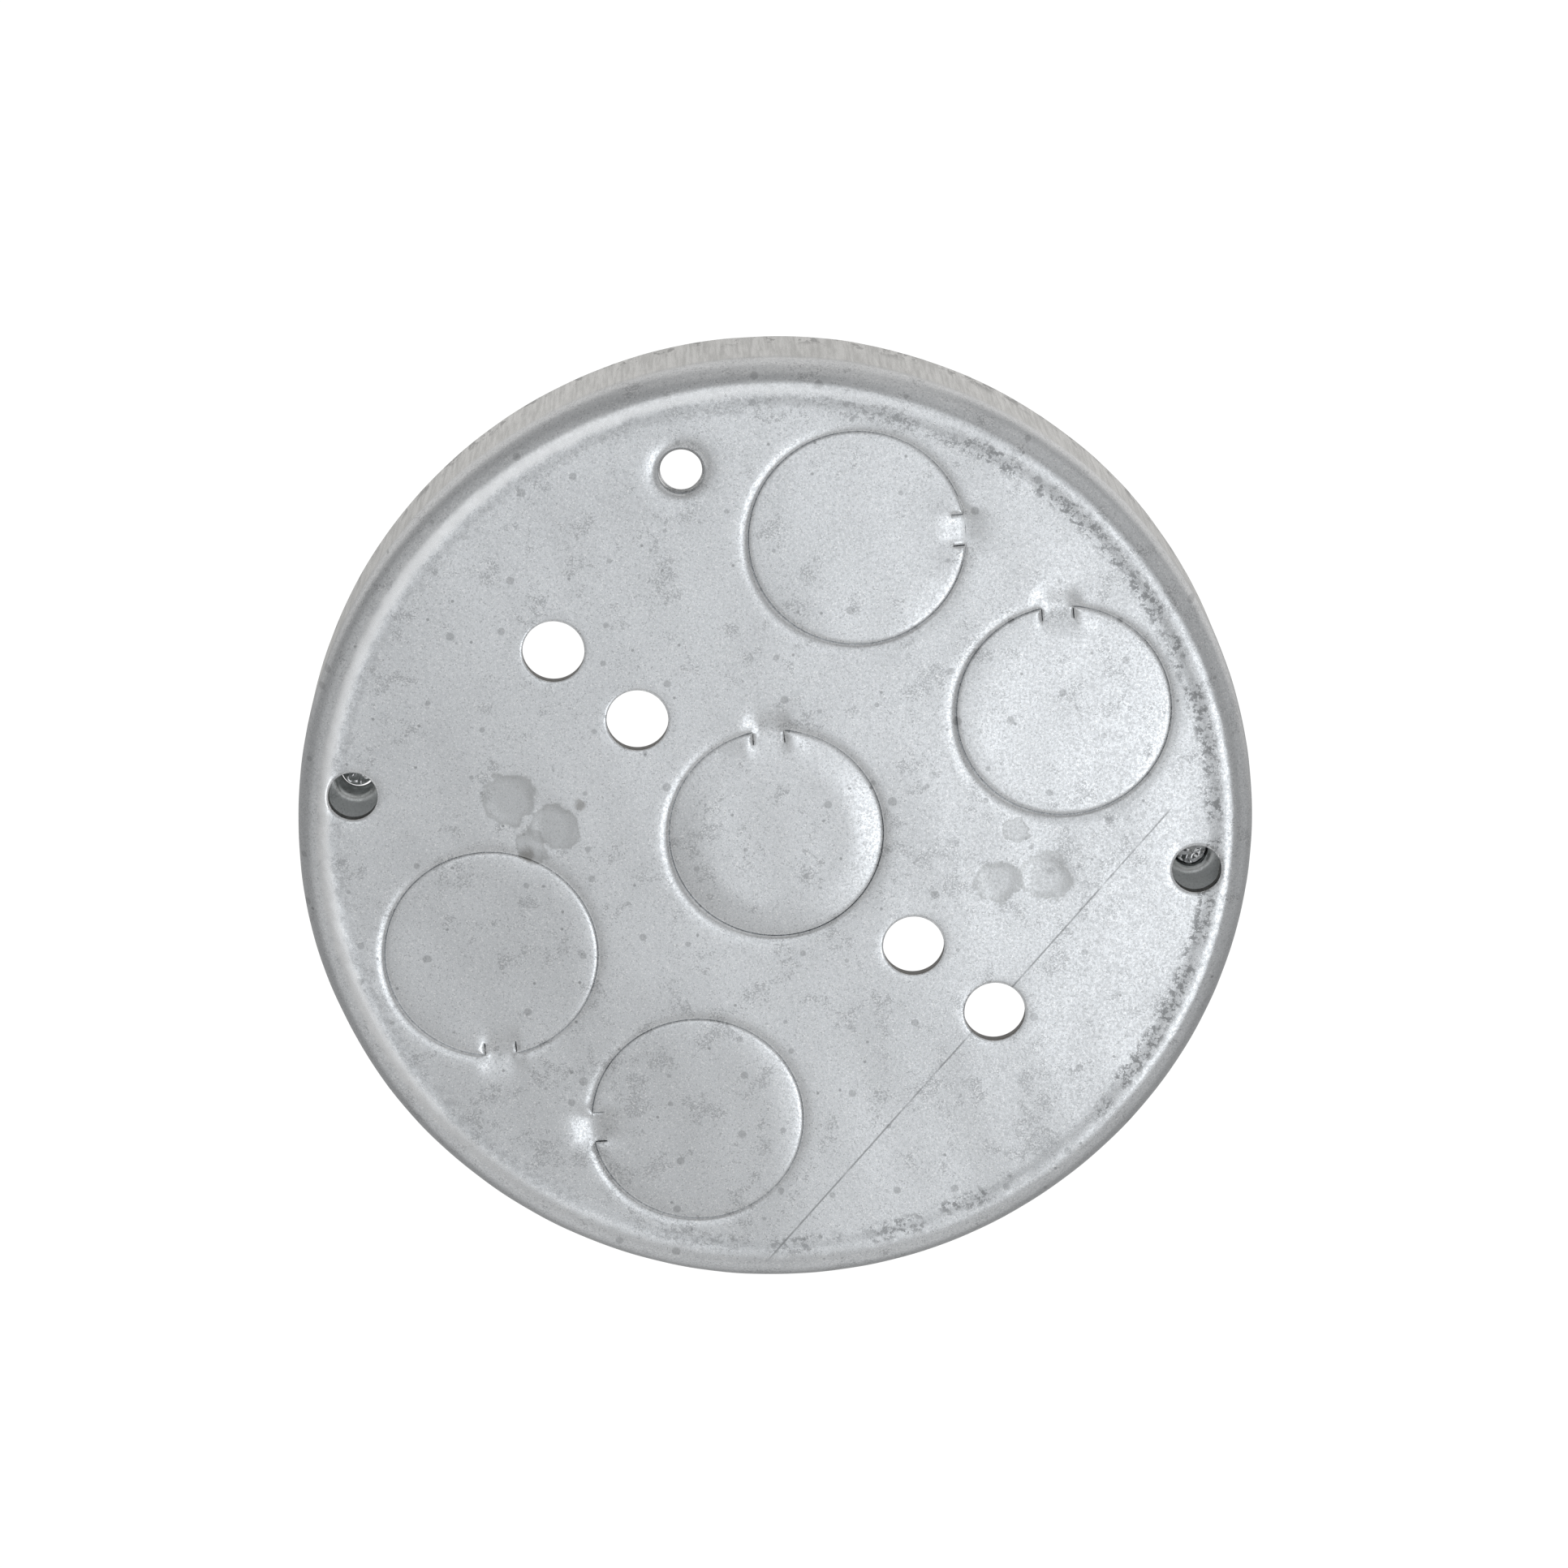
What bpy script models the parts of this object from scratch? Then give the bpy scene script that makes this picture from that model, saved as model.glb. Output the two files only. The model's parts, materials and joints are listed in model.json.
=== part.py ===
"""Round steel ceiling pan box with five pry-out knockouts, two ears and two cover screws.

Frame: the origin is the centre of the base's outer face, which lies in the plane y = 0 and faces -Y.
The side wall runs to the open mouth at +Y, +Z is up, and the two ears lie on the X axis.
Angles in the base are measured from +X towards +Z.
"""
import math

import bmesh
import bpy
from mathutils import Vector

MM = 0.001

# Pan: one deep-drawn sheet.
SHEET = 1.6 * MM
PAN_RADIUS = 50.3 * MM
PAN_DEPTH = 14.3 * MM
BEND_RADIUS = 3.4 * MM
BEND_STEPS = 6
PAN_STEPS = 96

# Piercing pattern of the base. The tools stand a little turned from the line of the ears.
PATTERN_TURN = math.radians(9.9)
DIAGONAL = math.radians(45)
KNOCKOUT_HOLE_RADIUS = 11.3 * MM
SLUG_RADIUS = 11.0 * MM
KNOCKOUT_CIRCLE = 32.75 * MM
KNOCKOUT_SPREAD = math.radians(25.8)
KNOCKOUT_STEPS = 60
MOUNTING_HOLE_RADIUS = 3.25 * MM
MOUNTING_HOLE_OFFSETS = (19.05 * MM, 30.45 * MM)
ACCESS_HOLE_RADIUS = 2.6 * MM
GROUND_HOLE_RADIUS = 2.15 * MM
GROUND_HOLE_CIRCLE = 40.0 * MM
GROUND_HOLE_ANGLE = math.radians(109.65)
GROUND_COLLAR_RADIUS = 3.1 * MM
GROUND_COLLAR_DEPTH = 3.2 * MM
HOLE_STEPS = 32

# Tie: the uncut strip that still joins a slug to the base, and bends when the slug is pried in.
TIE_WIDTH = 3.2 * MM
TIE_LENGTH = 1.65 * MM
SLIT_WIDTH = 0.3 * MM
TIE_BEND_RADIUS = 11.2 * MM

# Ears: a Z-shaped strap welded to the inside of the base, with a drawn and tapped collar.
EAR_SPACING = 88.9 * MM
STRAP_THICKNESS = 1.9 * MM
STRAP_START = 19.5 * MM
STRAP_RISER = 35.2 * MM
STRAP_END = 47.9 * MM
STRAP_BEND = 1.95 * MM
STRAP_BEND_STEPS = 5
FOOT_FACE = 1.9 * MM
TAB_FACE = 7.6 * MM
FOOT_HALF_WIDTH = 4.0 * MM
TAB_HALF_WIDTH = 6.0 * MM
TAB_CORNER = 2.6 * MM
COLLAR_END = 12.3 * MM
COLLAR_RADIUS = 2.95 * MM
TAPPED_RADIUS = 2.1 * MM

# Cover screws: number 8-32, 3/8 inch long, with a slotted pan head.
SCREW_RADIUS = 1.85 * MM
SCREW_LENGTH = 9.5 * MM
SCREW_TIP_CHAMFER = 0.5 * MM
HEAD_RADIUS = 3.9 * MM
HEAD_HEIGHT = 2.5 * MM
HEAD_CROWN = 0.9 * MM
SLOT_WIDTH = 1.15 * MM
SLOT_DEPTH = 1.2 * MM
SCREW_STEPS = 28
RIGHT_SCREW_TIP = 7.9 * MM
LEFT_SCREW_TIP = 10.5 * MM

CUT_MARGIN = 2.0 * MM
SMOOTH_ANGLE = math.radians(35)


def clear_scene():
    for item in list(bpy.data.objects):
        bpy.data.objects.remove(item, do_unlink=True)


def steel(name, color, roughness, metallic=1.0):
    """A plain Principled metal."""
    material = bpy.data.materials.new(name)
    material.use_nodes = True
    shader = material.node_tree.nodes["Principled BSDF"]
    shader.inputs["Base Color"].default_value = (*color, 1.0)
    shader.inputs["Roughness"].default_value = roughness
    shader.inputs["Metallic"].default_value = metallic
    return material


def in_base(radius, angle, y=0.0):
    """The point at a radius and angle in the base, at depth y."""
    return Vector((radius * math.cos(angle), y, radius * math.sin(angle)))


def finish_object(name, mesh_data, material=None):
    """Makes an object from a bmesh, with its faces pointing out."""
    bmesh.ops.recalc_face_normals(mesh_data, faces=mesh_data.faces)
    mesh = bpy.data.meshes.new(name)
    mesh_data.to_mesh(mesh)
    mesh_data.free()
    mesh.shade_smooth()
    mesh.set_sharp_from_angle(angle=SMOOTH_ANGLE)
    item = bpy.data.objects.new(name, mesh)
    bpy.context.collection.objects.link(item)
    if material:
        mesh.materials.append(material)
    return item


def turned(outline, steps):
    """A closed body turned about the Y axis from an outline of (radius, y) points.

    The outline starts and ends on the axis, or is closed on itself when none of it touches the axis.
    """
    shape = bmesh.new()
    points = [shape.verts.new((radius, y, 0.0)) for radius, y in outline]
    edges = [shape.edges.new(pair) for pair in zip(points, points[1:])]
    if outline[0][0] > 0.0:
        edges.append(shape.edges.new((points[-1], points[0])))
    bmesh.ops.spin(shape, geom=points + edges, axis=(0, 1, 0), cent=(0, 0, 0),
                   angle=2 * math.pi, steps=steps, use_merge=True)
    bmesh.ops.remove_doubles(shape, verts=shape.verts, dist=1e-6)
    return shape


def prism(outline, low, high):
    """A body with an outline of (x, z) points, from y = low to y = high."""
    shape = bmesh.new()
    face = shape.faces.new([shape.verts.new((x, low, z)) for x, z in outline])
    swept = bmesh.ops.extrude_face_region(shape, geom=[face])
    top = [item for item in swept["geom"] if isinstance(item, bmesh.types.BMVert)]
    bmesh.ops.translate(shape, vec=(0, high - low, 0), verts=top)
    return shape


def circle(radius, steps, center=(0.0, 0.0)):
    """The (x, z) points of a circle."""
    turns = [2 * math.pi * index / steps for index in range(steps)]
    return [(center[0] + radius * math.cos(turn), center[1] + radius * math.sin(turn)) for turn in turns]


def arc(center, radius, start, end, steps):
    """Points from one angle to another, in degrees, both ends included."""
    turns = [math.radians(start + (end - start) * index / steps) for index in range(steps + 1)]
    return [(center[0] + radius * math.cos(turn), center[1] + radius * math.sin(turn)) for turn in turns]


def join_bodies(name, shapes):
    """One object holding several separate bodies, used as a cutter."""
    joined = bmesh.new()
    for shape in shapes:
        mesh = bpy.data.meshes.new(name)
        bmesh.ops.recalc_face_normals(shape, faces=shape.faces)
        shape.to_mesh(mesh)
        shape.free()
        joined.from_mesh(mesh)
        bpy.data.meshes.remove(mesh)
    return finish_object(name, joined)


def as_cutter(item):
    item.hide_render = True
    item.display_type = "WIRE"
    return item


def boolean(target, tool, operation):
    """Cuts or joins one object with another, which stays in the file as a wire guide."""
    modifier = target.modifiers.new(tool.name, "BOOLEAN")
    modifier.operation = operation
    modifier.solver = "EXACT"
    modifier.object = as_cutter(tool)


def knockout_layout():
    """Each knockout's name, centre and the direction of its tie from that centre."""
    toward_top = PATTERN_TURN + DIAGONAL + KNOCKOUT_SPREAD
    toward_ear = PATTERN_TURN + DIAGONAL - KNOCKOUT_SPREAD
    quarter = math.pi / 2
    return [
        ("knockout_centre", Vector((0, 0, 0)), PATTERN_TURN + quarter),
        ("knockout_top", in_base(KNOCKOUT_CIRCLE, toward_top), PATTERN_TURN),
        ("knockout_right", in_base(KNOCKOUT_CIRCLE, toward_ear), PATTERN_TURN + quarter),
        ("knockout_left", in_base(KNOCKOUT_CIRCLE, toward_ear + math.pi), PATTERN_TURN - quarter),
        ("knockout_bottom", in_base(KNOCKOUT_CIRCLE, toward_top + math.pi), PATTERN_TURN + math.pi),
    ]


def pan_outline():
    """Half section of the pan: outer face, bend and wall, then back along the inside."""
    bend_center = (PAN_RADIUS - BEND_RADIUS, BEND_RADIUS)
    outer = arc(bend_center, BEND_RADIUS, -90, 0, BEND_STEPS)
    inner = arc(bend_center, BEND_RADIUS - SHEET, 0, -90, BEND_STEPS)
    rim = [(PAN_RADIUS, PAN_DEPTH), (PAN_RADIUS - SHEET, PAN_DEPTH)]
    return [(0.0, 0.0)] + outer + rim + inner + [(0.0, SHEET)]


def hole_cutters():
    """One cutter with a cylinder for every hole that is pierced through the base."""
    low = -CUT_MARGIN
    high = SHEET + CUT_MARGIN
    shapes = []
    for _, center, _ in knockout_layout():
        ring = circle(KNOCKOUT_HOLE_RADIUS, KNOCKOUT_STEPS, (center.x, center.z))
        shapes.append(prism(ring, low, high))
    mounting_line = PATTERN_TURN - DIAGONAL
    for offset in MOUNTING_HOLE_OFFSETS:
        for side in (1, -1):
            spot = in_base(side * offset, mounting_line)
            shapes.append(prism(circle(MOUNTING_HOLE_RADIUS, HOLE_STEPS, (spot.x, spot.z)), low, high))
    for side in (1, -1):
        spot = (side * EAR_SPACING / 2, 0.0)
        shapes.append(prism(circle(ACCESS_HOLE_RADIUS, HOLE_STEPS, spot), low, high))
    ground = in_base(GROUND_HOLE_CIRCLE, GROUND_HOLE_ANGLE)
    shapes.append(prism(circle(GROUND_HOLE_RADIUS, HOLE_STEPS, (ground.x, ground.z)),
                        low, GROUND_COLLAR_DEPTH + CUT_MARGIN))
    return join_bodies("cut_holes", shapes)


def make_pan(material):
    """The drawn pan with its pierced holes and the collar of the ground-screw hole."""
    pan = finish_object("pan", turned(pan_outline(), PAN_STEPS), material)
    ground = in_base(GROUND_HOLE_CIRCLE, GROUND_HOLE_ANGLE)
    ring = circle(GROUND_COLLAR_RADIUS, HOLE_STEPS, (ground.x, ground.z))
    collar = finish_object("guide_ground_collar", prism(ring, SHEET / 2, GROUND_COLLAR_DEPTH))
    boolean(pan, collar, "UNION")
    boolean(pan, hole_cutters(), "DIFFERENCE")


def slug_outline():
    """Outline of a slug about its tie's bend line, with the slug's centre on the -X side.

    Two short slits run in from the edge and leave the tie between them.
    """
    half_tie = TIE_WIDTH / 2
    slit_edge = half_tie + SLIT_WIDTH
    slit_end = SLUG_RADIUS - TIE_LENGTH
    tie_turn = math.degrees(math.asin(half_tie / SLUG_RADIUS))
    slit_turn = math.degrees(math.asin(slit_edge / SLUG_RADIUS))
    rim = arc((0.0, 0.0), SLUG_RADIUS, slit_turn, 360 - slit_turn, KNOCKOUT_STEPS)
    lower_slit = [(slit_end, -slit_edge), (slit_end, -half_tie)]
    tie_end = arc((0.0, 0.0), SLUG_RADIUS, -tie_turn, tie_turn, 4)
    upper_slit = [(slit_end, half_tie), (slit_end, slit_edge)]
    return [(x - TIE_BEND_RADIUS, z) for x, z in rim + lower_slit + tie_end + upper_slit]


def make_knockouts(material):
    """Five slugs, each with its origin on the bend line of its tie at the base's inner face."""
    for name, center, tie_direction in knockout_layout():
        slug = finish_object(name, prism(slug_outline(), -SHEET, 0.0), material)
        slug.location = center + in_base(TIE_BEND_RADIUS, tie_direction, SHEET)
        slug.rotation_euler = (0.0, -tie_direction, 0.0)


def strap_outline():
    """Side outline of the strap as (x, y) points, offset to both sides of its middle line."""
    half = STRAP_THICKNESS / 2
    foot_y = FOOT_FACE + half
    tab_y = TAB_FACE + half
    lower_bend = (STRAP_RISER - STRAP_BEND, foot_y + STRAP_BEND)
    upper_bend = (STRAP_RISER + STRAP_BEND, tab_y - STRAP_BEND)
    steps = STRAP_BEND_STEPS
    outer_side = [(STRAP_START, foot_y - half)]
    outer_side += arc(lower_bend, STRAP_BEND + half, -90, 0, steps)
    outer_side += arc(upper_bend, STRAP_BEND - half, 180, 90, steps)
    outer_side += [(STRAP_END, tab_y - half)]
    inner_side = [(STRAP_END, tab_y + half)]
    inner_side += arc(upper_bend, STRAP_BEND + half, 90, 180, steps)
    inner_side += arc(lower_bend, STRAP_BEND - half, 0, -90, steps)
    inner_side += [(STRAP_START, foot_y + half)]
    return outer_side + inner_side


def strap_plan():
    """Plan of the strap as (x, z) points: narrow foot, wider tab with rounded corners."""
    flare_start = STRAP_RISER - STRAP_BEND
    flare_end = STRAP_RISER + STRAP_BEND / 2
    corner = (STRAP_END - TAB_CORNER, TAB_HALF_WIDTH - TAB_CORNER)
    upper = [(STRAP_START, FOOT_HALF_WIDTH), (flare_start, FOOT_HALF_WIDTH), (flare_end, TAB_HALF_WIDTH)]
    upper += arc(corner, TAB_CORNER, 90, 0, 6)
    lower = [(x, -z) for x, z in reversed(upper)]
    return upper + lower


def strap_body():
    """The side outline swept across the strap's full width."""
    shape = bmesh.new()
    points = [shape.verts.new((x, y, -TAB_HALF_WIDTH - CUT_MARGIN)) for x, y in strap_outline()]
    swept = bmesh.ops.extrude_face_region(shape, geom=[shape.faces.new(points)])
    far = [item for item in swept["geom"] if isinstance(item, bmesh.types.BMVert)]
    bmesh.ops.translate(shape, vec=(0, 0, 2 * (TAB_HALF_WIDTH + CUT_MARGIN)), verts=far)
    return shape


def make_ear(name, side, material):
    """One ear: the Z strap trimmed to its plan, with its collar and tapped hole."""
    ear = finish_object(name, strap_body(), material)
    plan = finish_object(f"guide_{name}_plan", prism(strap_plan(), -CUT_MARGIN, PAN_DEPTH))
    hole_spot = (EAR_SPACING / 2, 0.0)
    collar_ring = circle(COLLAR_RADIUS, HOLE_STEPS, hole_spot)
    collar_shape = prism(collar_ring, TAB_FACE + STRAP_THICKNESS / 2, COLLAR_END)
    collar = finish_object(f"guide_{name}_collar", collar_shape)
    hole_ring = circle(TAPPED_RADIUS, HOLE_STEPS, hole_spot)
    hole = finish_object(f"cut_{name}_hole", prism(hole_ring, FOOT_FACE, PAN_DEPTH))
    boolean(ear, plan, "INTERSECT")
    boolean(ear, collar, "UNION")
    boolean(ear, hole, "DIFFERENCE")
    turn = 0.0 if side > 0 else math.pi
    for item in (ear, plan, collar, hole):
        item.rotation_euler = (0.0, turn, 0.0)


def screw_outline():
    """Half section of a screw about its axis, with its tip at y = 0 and its head at the far end."""
    head = SCREW_LENGTH
    top = head + HEAD_HEIGHT
    shoulder = top - HEAD_CROWN
    crown = arc((0.0, 0.0), 1.0, 0, 75, 5)
    crown = [(HEAD_RADIUS * across, shoulder + HEAD_CROWN * along) for across, along in crown]
    tip = [(0.0, 0.0), (SCREW_RADIUS - SCREW_TIP_CHAMFER, 0.0), (SCREW_RADIUS, SCREW_TIP_CHAMFER)]
    return tip + [(SCREW_RADIUS, head), (HEAD_RADIUS, head)] + crown + [(0.0, top)]


def make_screw(name, side, tip, material):
    """A cover screw on its ear's axis, part-way in, with a slot across its head."""
    screw = finish_object(name, turned(screw_outline(), SCREW_STEPS), material)
    half = SLOT_WIDTH / 2
    reach = HEAD_RADIUS + CUT_MARGIN
    bottom = SCREW_LENGTH + HEAD_HEIGHT - SLOT_DEPTH
    bar = [(-reach, -half), (reach, -half), (reach, half), (-reach, half)]
    slot = finish_object(f"cut_{name}_slot", prism(bar, bottom, bottom + SLOT_DEPTH + CUT_MARGIN))
    boolean(screw, slot, "DIFFERENCE")
    for item in (screw, slot):
        item.location = (side * EAR_SPACING / 2, tip, 0.0)


def main():
    clear_scene()
    galvanised = steel("galvanised_sheet", (0.60, 0.62, 0.64), 0.45)
    slug_steel = steel("galvanised_slug", (0.58, 0.60, 0.62), 0.45)
    strap_steel = steel("ear_strap", (0.50, 0.52, 0.54), 0.50)
    screw_steel = steel("zinc_plated_screw", (0.72, 0.73, 0.74), 0.30)
    make_pan(galvanised)
    make_knockouts(slug_steel)
    make_ear("ear_bracket_right", 1, strap_steel)
    make_ear("ear_bracket_left", -1, strap_steel)
    make_screw("cover_screw_right", 1, RIGHT_SCREW_TIP, screw_steel)
    make_screw("cover_screw_left", -1, LEFT_SCREW_TIP, screw_steel)


main()
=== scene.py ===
"""The looks of a galvanised steel ceiling pan box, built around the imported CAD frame.

Modelling is in millimetres, in the frame's own axes: the base faces -Y, the mouth +Y, +Z is up and
the ears lie on X. A sheet is drawn flat, as points (u, v), and a "place" function bends it to shape:
place(points, depth) gives the point at a depth below the face that looks towards -Y.
"""

import json
import math
from collections import namedtuple

import bmesh
import bpy
import numpy as np
from mathutils import Matrix, Vector
from mathutils.geometry import delaunay_2d_cdt


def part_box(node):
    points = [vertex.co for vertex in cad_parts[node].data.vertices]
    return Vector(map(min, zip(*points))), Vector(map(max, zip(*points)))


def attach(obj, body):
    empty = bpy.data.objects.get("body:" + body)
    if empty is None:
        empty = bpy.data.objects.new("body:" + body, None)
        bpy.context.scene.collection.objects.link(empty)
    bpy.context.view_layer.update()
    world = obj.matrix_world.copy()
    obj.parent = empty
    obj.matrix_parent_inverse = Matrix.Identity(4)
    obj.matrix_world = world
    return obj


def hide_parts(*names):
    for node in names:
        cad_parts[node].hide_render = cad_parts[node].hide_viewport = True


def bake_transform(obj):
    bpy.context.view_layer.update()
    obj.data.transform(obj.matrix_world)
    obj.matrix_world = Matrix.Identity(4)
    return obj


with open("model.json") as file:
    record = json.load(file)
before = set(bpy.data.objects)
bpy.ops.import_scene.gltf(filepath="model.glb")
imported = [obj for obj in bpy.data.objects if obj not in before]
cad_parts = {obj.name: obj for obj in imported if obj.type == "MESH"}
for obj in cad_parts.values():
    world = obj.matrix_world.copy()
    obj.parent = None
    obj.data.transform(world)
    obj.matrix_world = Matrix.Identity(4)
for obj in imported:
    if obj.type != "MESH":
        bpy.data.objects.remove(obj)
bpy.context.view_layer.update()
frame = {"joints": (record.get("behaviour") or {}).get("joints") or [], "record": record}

MM = 0.001

# Sheet of the pan
SHEET = 1.6
BEND_RADIUS = 3.4
BASE_INSET = 0.08
BASE_CROWN = 0.40
WALL_INSET = 0.07

# Holes of the pan
CUT_GAP = 0.042
GAP_TOWARDS = math.radians(-50)
ROLL_TOWARDS = math.radians(-135)
SLUG_LEDGE = -0.14
CORNER_RELIEF = 0.55
MOUNTING_HOLE_RADIUS = 3.22
ACCESS_HOLE_RADIUS = 2.56
GROUND_HOLE_RADIUS = 2.16
GROUND_SEAT_OFFSET = 2.62
GROUND_COLLAR_WALL = 0.85

# Ties of the knockouts
TIE_HALF = 1.6
TIE_LENGTH = 1.4
SLIT = 0.09
DENT_DEPTH = 0.23
DENT_REACH = 1.8

# Spacing of a sheet's inner points, coarse and fine
PAN_GRIDS = (0.85, 0.42)
SLUG_GRIDS = (0.7, 0.35)
STRAP_GRID = 0.55

# Points round each edge
RIM_POINTS = 432
KNOCKOUT_POINTS = 220
SLUG_POINTS = 210
MOUNTING_HOLE_POINTS = 84
BORE_POINTS = 72
SCREW_POINTS = 64
DOME_POINTS = 48

# Ear straps
STRAP = 1.9
STRAP_BEND = 1.95
RISER_SHARE = 0.553
FOOT_HALF = 4.0
TAB_HALF = 5.95
TAB_CORNER = 2.6
FOOT_CORNER = 0.7
TAPPED_CREST = 1.88
TAPPED_ROOT = 2.12
COLLAR_WALL = 1.0

# Cover screws
THREAD_PITCH = 0.794
SCREW_CREST = 1.8
SCREW_ROOT = 1.46
HEAD_HEIGHT = 2.5
HEAD_CROWN = 0.9
SLOT_WIDTH = 1.15
SLOT_DEPTH = 1.15
SLOT_TURNS = {1: 0.35, -1: -0.7}

# A long straight scratch on the base, from and to these (x, z)
SCRATCH = ((41.8, 7.6), (3.0, -48.5))

# Camera, as in the view of the object from a little above its base
CAMERA_TARGET = Vector((0.26, 0.0, 5.53)) * MM
CAMERA_DISTANCE = 560.0 * MM
CAMERA_ELEVATION = math.radians(15.677)
CAMERA_AZIMUTH = math.radians(-2.836)
CAMERA_ROLL = math.radians(5.71)
CAMERA_FIELD = math.radians(16.637)

Knockout = namedtuple("Knockout", "name x z dx dz radius")
StrapPath = namedtuple("StrapPath", "foot_y tab_y riser_x foot riser tab arc")
# An edge of a sheet: its points, each one's direction into the sheet, how far that point follows the
# profile's inset and roll, the kinds of row that show torn metal, and how far those rows stand back.
Loop = namedtuple("Loop", "points inward inset roll cut back")


# ---- measures from the frame

def corners(node):
    """Lowest and highest corner of a CAD node, in millimetres."""
    low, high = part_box(node)
    return np.array(low) / MM, np.array(high) / MM


def opening_centre(name):
    """Centre (x, z) of one of the record's openings, in millimetres."""
    boxes = {item["name"]: item["box_m"] for item in frame["record"]["physics"]["openings"]}
    middle = np.mean(np.array(boxes[name]), axis=0) / MM
    return middle[0], middle[2]


def mount_point(name):
    """Point of one of the record's mounts, in millimetres."""
    places = {item["name"]: item["pos_m"] for item in frame["record"]["mounts"]}
    return np.array(places[name]) / MM


def read_knockouts():
    """Each knockout's centre, radius and the direction of its tie, from its node and its hinge."""
    found = []
    for joint in frame["joints"]:
        if joint["type"] != "hinge":
            continue
        low, high = corners(joint["child"])
        x, _, z = (low + high) / 2
        hinge = np.array(joint["pos_m"]) / MM
        towards = np.array((hinge[0] - x, hinge[2] - z))
        reach = float(np.hypot(*towards))
        found.append(Knockout(joint["child"], x, z, towards[0] / reach, towards[1] / reach, reach))
    return found


def ground_hole():
    """Centre of the ground screw's hole. Its seat lies beside it, square to the line to the middle."""
    seat = mount_point("ground_screw_seat")
    reach = math.hypot(seat[0], seat[2])
    angle = math.atan2(seat[2], seat[0]) - math.asin(GROUND_SEAT_OFFSET / reach)
    middle = math.sqrt(reach ** 2 - GROUND_SEAT_OFFSET ** 2)
    return middle * math.cos(angle), middle * math.sin(angle)


PAN_RADIUS, PAN_DEPTH, _ = corners("pan")[1]
FLAT_RADIUS = PAN_RADIUS - BEND_RADIUS
BEND_LENGTH = BEND_RADIUS * math.pi / 2
RIM_REACH = FLAT_RADIUS + BEND_LENGTH + PAN_DEPTH - BEND_RADIUS
KNOCKOUTS = read_knockouts()
GROUND = ground_hole()
SCREW_X = float(np.mean(corners("cover_screw_right"), axis=0)[0])
EAR_LOW, EAR_HIGH = corners("ear_bracket_right")
FOOT_END = (EAR_HIGH[0] - EAR_LOW[0]) * 0.49

# Each slug: how much it leans along x and z, how far its border falls away, that border's width, and
# how wide its cut is.
SLUG_SHAPES = {
    "centre": (0.0, 0.0, 0.20, 3.6, 1.0),
    "top": (0.006, 0.0, 0.05, 3.0, 0.7),
    "right": (0.008, 0.003, 0.03, 2.5, 0.9),
    "left": (-0.002, 0.0, 0.04, 2.0, 0.45),
    "bottom": (-0.003, -0.002, 0.05, 2.5, 0.45),
}

# Spot welds of the two straps: share of the foot's length, of its half width, radius, and depth.
WELDS = {
    1: [(0.66, -0.53, 2.7, 0.04), (0.31, -0.78, 2.3, 0.03), (0.39, 0.72, 1.5, 0.01)],
    -1: [(0.62, -0.31, 3.0, 0.04), (0.27, 0.34, 2.7, 0.05), (0.42, 0.95, 1.9, 0.03)],
}
# Small burnt pits at the borders of the left weld marks: x, z, radius
WELD_PITS = [(-20.7, 1.1, 0.75), (-25.9, -4.7, 0.95)]


def weld_spots():
    """Centre, radius and depth of each weld's mark on the base."""
    spots = []
    for side, marks in WELDS.items():
        for along, across, radius, depth in marks:
            x = EAR_LOW[0] + along * FOOT_END
            spots.append((side * x, side * across * FOOT_HALF, radius, depth))
    return spots


# ---- small numeric helpers

def smooth(low, high, value):
    """0 below low, 1 above high, and an even S between them."""
    share = np.clip((value - low) / (high - low), 0.0, 1.0)
    return share * share * (3 - 2 * share)


def ripple(u, v, length, seed):
    """An uneven wave between about -1 and 1, whose features are about length across."""
    draw = np.random.default_rng(seed)
    total = 0.0
    for _ in range(6):
        angle, phase = draw.uniform(0, 2 * math.pi, 2)
        size = 2 * math.pi / (length * draw.uniform(0.7, 1.5))
        total = total + np.sin(size * (u * math.cos(angle) + v * math.sin(angle)) + phase)
    return total / 3.2


def even_turns(count):
    """Angles of evenly spaced points round a circle."""
    return np.arange(count) * 2 * math.pi / count


def circle(radius, count, centre=(0.0, 0.0)):
    """Points of a circle, counter-clockwise in (u, v)."""
    return np.array(arc(centre, radius, even_turns(count)))


def arc(centre, radius, turns):
    """List of an arc's points at the given angles."""
    return [(centre[0] + radius * math.cos(turn), centre[1] + radius * math.sin(turn)) for turn in turns]


# ---- relief of the pan's sheet

def tie_frame(knockout, points):
    """Distances along the tie's direction, from the knockout's centre, and across it."""
    u, v = (points - (knockout.x, knockout.z)).T
    return u * knockout.dx + v * knockout.dz, v * knockout.dx - u * knockout.dz


def tie_dent(knockout, points, spread=1.0):
    """The dent that the punch leaves at a tie: deepest on the cut line, as wide as the tie."""
    along, across = tie_frame(knockout, points)
    span = np.exp(-((along - knockout.radius + 0.2) / DENT_REACH) ** 2)
    sides = 1 - smooth(TIE_HALF * 0.55, TIE_HALF * (1.05 + 0.75 * spread), np.abs(across))
    return DENT_DEPTH * span * sides


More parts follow.
